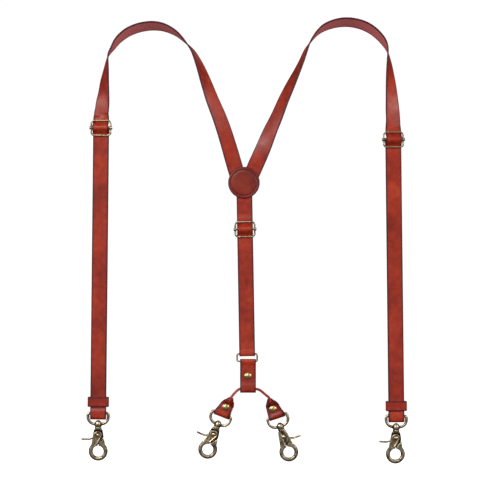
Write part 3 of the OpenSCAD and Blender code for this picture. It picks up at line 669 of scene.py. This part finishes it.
def clip_tab(side):
    """Its top is pulled aside by the thong, which stands out as a ridge above the rivet."""
    m = hung_at(*CLIPS[side])
    skew, rivet_x, ridge_lean = TABS[side]
    slope = math.tan(math.radians(ridge_lean))

    def width(_, z):
        return 2 * float(np.interp(z, [p[0] for p in TAB_HALF], [p[1] for p in TAB_HALF]))

    def push(c, u):
        x = c[0] - u
        over = math.sqrt(max(0.0, 2.45 ** 2 - (x - rivet_x - slope * (c[2] - 12.6)) ** 2)) - TAB_Y
        beside = abs(x - rivet_x - slope * (c[2] - 12.6))
        grown = ease((c[2] - 12.2) / 2.4)
        crease = 0.22 * math.exp(-((beside - 3.3) / 0.9) ** 2)
        dish = 0.25 * math.exp(-((math.hypot(x - rivet_x, c[2] - 9.3) - 5.0) / 1.0) ** 2)
        return grown * (max(over, 0.0) - crease) - dish * ease((c[2] - 4) / 3)

    fine = [22.8 - 0.45 * k for k in range(26)]
    half = [(-TAB_Y, z, STRAP_T) for z in fine + [10.6, 9.6, 8.6, 7.6, 6.6, 5.6, 4.6]]
    half += [(-TAB_Y - (EYE_FOLD_R - TAB_Y) * ease(k / 6), 4.6 - 0.7 * k, STRAP_T) for k in range(1, 7)]
    path = half + [(EYE_FOLD_R * math.cos(math.radians(a)), EYE_FOLD_R * math.sin(math.radians(a)), STRAP_T)
                   for a in range(180, 361, 15)] + [(-y, z, t) for y, z, t in reversed(half)]
    rings = []
    for (_, y, z), a, n, w, t in path_rings(path, width):
        rings.append(((skew * max(z, 0.0), y, z), a, n, w, t))
    obj = strip(f"{side}_tab_leather", rings, matrix=m, push=push, across=24)
    finished(obj, "thong", "leather", f"{side}_tab")


for side in TABS:
    clip_tab(side)


# Cast clip parts: a remeshed copy of each CAD part, softened, with its relief pressed in and its painted
# shade stored per point

SWELL = 0.12  # makes up for what the softening takes off
RING_Z, SPLIT = -45.7, -50
PIVOT_Z, LEVER_Z, LEVER_IN, ARM_FOOT = -26.4, -31.4, 10.4, -38.5


def cast(node, body, clip, relief, material=BRASS, voxel=0.42, rounds=2):
    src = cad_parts[node]
    obj = bpy.data.objects.new(f"{node}_cast", src.data.copy())
    bpy.context.scene.collection.objects.link(obj)
    remesh = obj.modifiers.new("voxels", "REMESH")
    remesh.mode = "VOXEL"
    remesh.voxel_size = voxel * MM
    soften = obj.modifiers.new("soften", "SMOOTH")
    soften.factor = 0.5
    soften.iterations = rounds
    bpy.context.view_layer.update()
    got = obj.evaluated_get(bpy.context.evaluated_depsgraph_get())
    mesh = bpy.data.meshes.new_from_object(got)
    obj.modifiers.clear()
    obj.data = mesh
    m = hung_at(*CLIPS[clip])
    back_to = m.inverted()
    flip = -1 if clip == "rear_right" else 1
    dark = np.zeros(len(mesh.vertices), np.float32)
    normals = [v.normal.copy() for v in mesh.vertices]
    for v, nrm in zip(mesh.vertices, normals):
        p = back_to @ (v.co / MM)
        n = back_to.to_3x3() @ nrm
        p.y *= flip
        n.y *= flip
        p += n * SWELL
        p, d = relief(p, n)
        p.y *= flip
        dark[v.index] = d
        v.co = (m @ p) * MM
    # The 'dark' attribute carries the painted shade from the relief functions to the brass material
    mesh.attributes.new("dark", "FLOAT", "POINT").data.foreach_set("value", dark)
    mesh.materials.clear()
    mesh.materials.append(material)
    mesh.shade_smooth()
    finished(obj, body, "antique_brass", node)


def cone_distance(x, z, x0, z0, r0, x1, z1, r1):
    """Signed distance to a tapered capsule, near enough for relief."""
    dx, dz = x1 - x0, z1 - z0
    t = max(0.0, min(1.0, ((x - x0) * dx + (z - z0) * dz) / (dx * dx + dz * dz)))
    return math.hypot(x - x0 - t * dx, z - z0 - t * dz) - (r0 + (r1 - r0) * t)


def bell(a, centre, width):
    return math.exp(-((a - centre) / width) ** 2)


def ring_painted_shade(p):
    """Painted shade along the ring's inner and outer edges and in its split."""
    r = math.hypot(p.x, p.z - RING_Z)
    edge = 0.9 * max(bell(r, 6.4, 1.3), bell(r, 11.4, 1.3))
    off = math.degrees(math.atan2(p.z - RING_Z, p.x)) - SPLIT
    return max(edge, bell(off, 0, 5))


def hook_relief(p, n):
    dark = 0.0
    # Painted shade in a band where the hook body meets the eye's boss
    if p.z > -19.6:
        return p, 0.7 * bell(p.z, -19.6, 0.7)
    if p.z < ARM_FOOT:
        return p, ring_painted_shade(p)
    if p.y < 0 and n.y < -0.3:
        d = cone_distance(p.x, p.z, 0, PIVOT_Z, 4.5, -2.2, -36.5, 1.6)
        lift = 0.3 * bell(d, -0.55, 0.5) - 0.45 * bell(d, 0.55, 0.5)
        inside = ease((-d - 1.0) / 0.8)
        lift -= 0.3 * inside
        right = ease((p.x + 0.28 * (p.z - PIVOT_Z)) / 2.5)
        moat = bell(math.hypot(p.x, p.z - PIVOT_Z), 2.9, 0.5)
        # Painted shadow beside the front plate's edge, heavier on its right side, and painted shade in the
        # recess inside the plate, more so round the pivot
        dark = (0.35 + 0.75 * right) * bell(d, 1.1, 1.15) + (0.18 + 0.4 * moat) * inside
        # Painted shade at the neck, outside the plate
        neck = ease((p.z + 23.2) / 1.2) * ease((-19.7 - p.z) / 0.8)
        dark = max(dark, neck * ease(d / 0.8))
        p.y -= lift * min(1.0, -n.y)
    elif p.y > 0 and n.y > 0.3:
        d = cone_distance(p.x, p.z, 0.2, -22.2, 2.0, 0.4, -36.0, 1.8)
        inside = ease((-d + 0.2) / 0.8)
        lift = 0.3 * bell(d, 0.9, 0.6) - 0.6 * inside
        # Painted shade in the recess on the back, clear of the pivot
        dark = 0.85 * inside * (1 - bell(math.hypot(p.x, p.z - PIVOT_Z), 0, 2.2))
        p.y += lift * min(1.0, n.y)
    return p, min(1.0, dark)


def gate_relief(p, n):
    if p.z > -25.6 and p.x > 0.5:
        p.z -= 0.35 * ease(p.z + 25.6)  # room for the spring
    if abs(p.x) > LEVER_IN and p.z > -36:
        out = abs(p.x) - LEVER_IN
        p.z = LEVER_Z + (p.z - LEVER_Z) * 0.95 + 0.003 * out * out
    # Below the arms, the ring's painted shade on its edges and split
    return p, ring_painted_shade(p) if p.z < ARM_FOOT else 0.0


def eye_relief(p, n):
    dark = 0.0
    if abs(p.x) < 4.6 and p.z < -9.2:
        # Painted shade in bands at the top and foot of the boss, and down the boss's sides
        dark = 0.8 * bell(p.z, -10.0, 0.8) + 0.6 * bell(p.z, -16.3, 0.6)
        dark += 0.8 * ease(abs(p.x) - 1.9)
    return p, min(1.0, dark)


for clip in CLIPS:
    cast(f"{clip}_eye", f"{clip}_eye", clip, eye_relief)
    cast(f"{clip}_hook", f"{clip}_hook", clip, hook_relief, voxel=0.38)
    cast(f"{clip}_gate", f"{clip}_gate", clip, gate_relief, voxel=0.38)


# The gates' springs, copied from the CAD parts with the brass finish


def spring(clip):
    obj = bpy.data.objects.new(f"{clip}_coil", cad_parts[f"{clip}_spring"].data.copy())
    bpy.context.scene.collection.objects.link(obj)
    obj.data.materials.clear()
    obj.data.materials.append(BRASS)
    obj.data.shade_smooth()
    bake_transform(obj)
    finished(obj, None, "antique_brass", f"{clip}_spring")


for clip in CLIPS:
    spring(clip)

# CAD parts that stay, with their own finish
for name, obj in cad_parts.items():
    if obj.hide_render:
        continue
    finish = RIVET if name.endswith("rivet") else WIRE if "buckle_frame" in name else BRASS
    obj.data.materials.clear()
    obj.data.materials.append(finish)
    obj.data.shade_smooth()
    obj.data.set_sharp_from_angle(angle=math.radians(38))


# Light, floor and camera

def studio_world():
    """White to the camera; a soft gradient, weaker behind, to everything else."""
    world = bpy.data.worlds.new("studio")
    bpy.context.scene.world = world
    world.use_nodes = True
    tree = world.node_tree
    tree.nodes.clear()

    def add(kind, **values):
        node = tree.nodes.new("ShaderNode" + kind)
        for key, value in values.items():
            node.inputs[key.replace("_", " ")].default_value = value
        return node

    join = tree.links.new
    seen = add("Background", Color=(1, 1, 1, 1), Strength=1.05)
    lit = add("Background")
    axes = add("SeparateXYZ")
    join(add("TexCoord").outputs["Generated"], axes.inputs[0])
    half = add("Math")
    half.operation = "MULTIPLY_ADD"
    half.inputs[1].default_value = 0.5
    half.inputs[2].default_value = 0.5
    join(axes.outputs["Z"], half.inputs[0])
    shade = add("ValToRGB")
    low, high = shade.color_ramp.elements
    low.position, high.position = 0.25, 0.9
    low.color, high.color = (0.25, 0.25, 0.26, 1), (1, 1, 1, 1)
    join(half.outputs[0], shade.inputs["Fac"])
    join(shade.outputs["Color"], lit.inputs["Color"])
    front = add("MapRange", From_Min=0.1, From_Max=-0.7, To_Min=0.12, To_Max=0.7)
    join(axes.outputs["Y"], front.inputs["Value"])
    ray = add("LightPath")
    power = add("Mix", A=0.7)
    join(front.outputs["Result"], power.inputs["B"])
    join(ray.outputs["Is Glossy Ray"], power.inputs["Factor"])
    join(power.outputs["Result"], lit.inputs["Strength"])
    pick = add("MixShader")
    join(ray.outputs["Is Camera Ray"], pick.inputs["Fac"])
    join(lit.outputs[0], pick.inputs[1])
    join(seen.outputs[0], pick.inputs[2])
    join(pick.outputs[0], add("OutputWorld").inputs["Surface"])


def area(name, place, target, size, watts):
    data = bpy.data.lights.new(name, "AREA")
    data.shape = "RECTANGLE"
    data.size, data.size_y = size
    data.energy = watts
    obj = bpy.data.objects.new(name, data)
    obj.location = place
    obj.rotation_euler = (Vector(target) - Vector(place)).to_track_quat("-Z", "Y").to_euler()
    bpy.context.scene.collection.objects.link(obj)
    return obj


def studio_lights():
    area("key", (-0.3, -1.25, 0.65), (0, 0, -0.25), (0.5, 0.5), 7.5)
    area("fill", (1.3, -1.2, 0.3), (0, 0, -0.25), (0.4, 1.2), 5)
    low_light = area("low", (0.0, -1.4, -0.5), (0, 0, -0.3), (1.6, 0.5), 9)
    low_light.visible_glossy = False
    area("left_side", (-1.2, -0.45, 0.15), (0, 0, -0.03), (0.3, 0.5), 6)
    area("right_side", (1.2, -0.45, 0.15), (0, 0, -0.03), (0.3, 0.5), 6)
    glint = area("glint", (-0.9, -1.3, 0.5), (0, 0, -0.3), (0.3, 0.6), 12)
    glint.visible_diffuse = False
    area("rim_light", (0.2, 1.2, 0.9), (0, 0, -0.2), (1.6, 0.8), 3)


FLOOR_DROP = 0.12  # below the front clips with their buckles right down


def pale_floor():
    n = Nodes("pale_floor")
    speck = n.noise(6, 2)
    pale = n.ramp(speck, (0.3, (0.93, 0.93, 0.93, 1)), (0.7, (0.96, 0.96, 0.96, 1)))
    n.out(Base_Color=pale, Roughness=0.85, Emission_Color=(1, 1, 1, 1), Emission_Strength=0.6)
    bm = bmesh.new()
    bmesh.ops.create_circle(bm, cap_ends=True, radius=1.6, segments=96)
    mesh = bpy.data.meshes.new("floor")
    bm.to_mesh(mesh)
    bm.free()
    mesh.materials.append(n.material)
    floor = bpy.data.objects.new("floor", mesh)
    floor.location = (0, 0, cad_low.z - FLOOR_DROP)
    bpy.context.scene.collection.objects.link(floor)
    floor.visible_diffuse = False
    floor.visible_glossy = False


VIEW_X, VIEW_Z, VIEW_DISTANCE = -0.0096, -0.2548, 2.0
LENS_PER_METRE = 62.5


def front_camera():
    """Straight on from the front, its lens long enough to keep the same framing at its distance."""
    camera = bpy.data.cameras.new("camera")
    camera.sensor_width = 36
    camera.lens = LENS_PER_METRE * VIEW_DISTANCE
    view = bpy.data.objects.new("camera", camera)
    view.location = (VIEW_X, -VIEW_DISTANCE, VIEW_Z)
    view.rotation_euler = (math.pi / 2, 0, 0)
    bpy.context.scene.collection.objects.link(view)
    bpy.context.scene.camera = view


studio_world()
studio_lights()
pale_floor()
front_camera()
bpy.context.scene.view_settings.view_transform = "Standard"
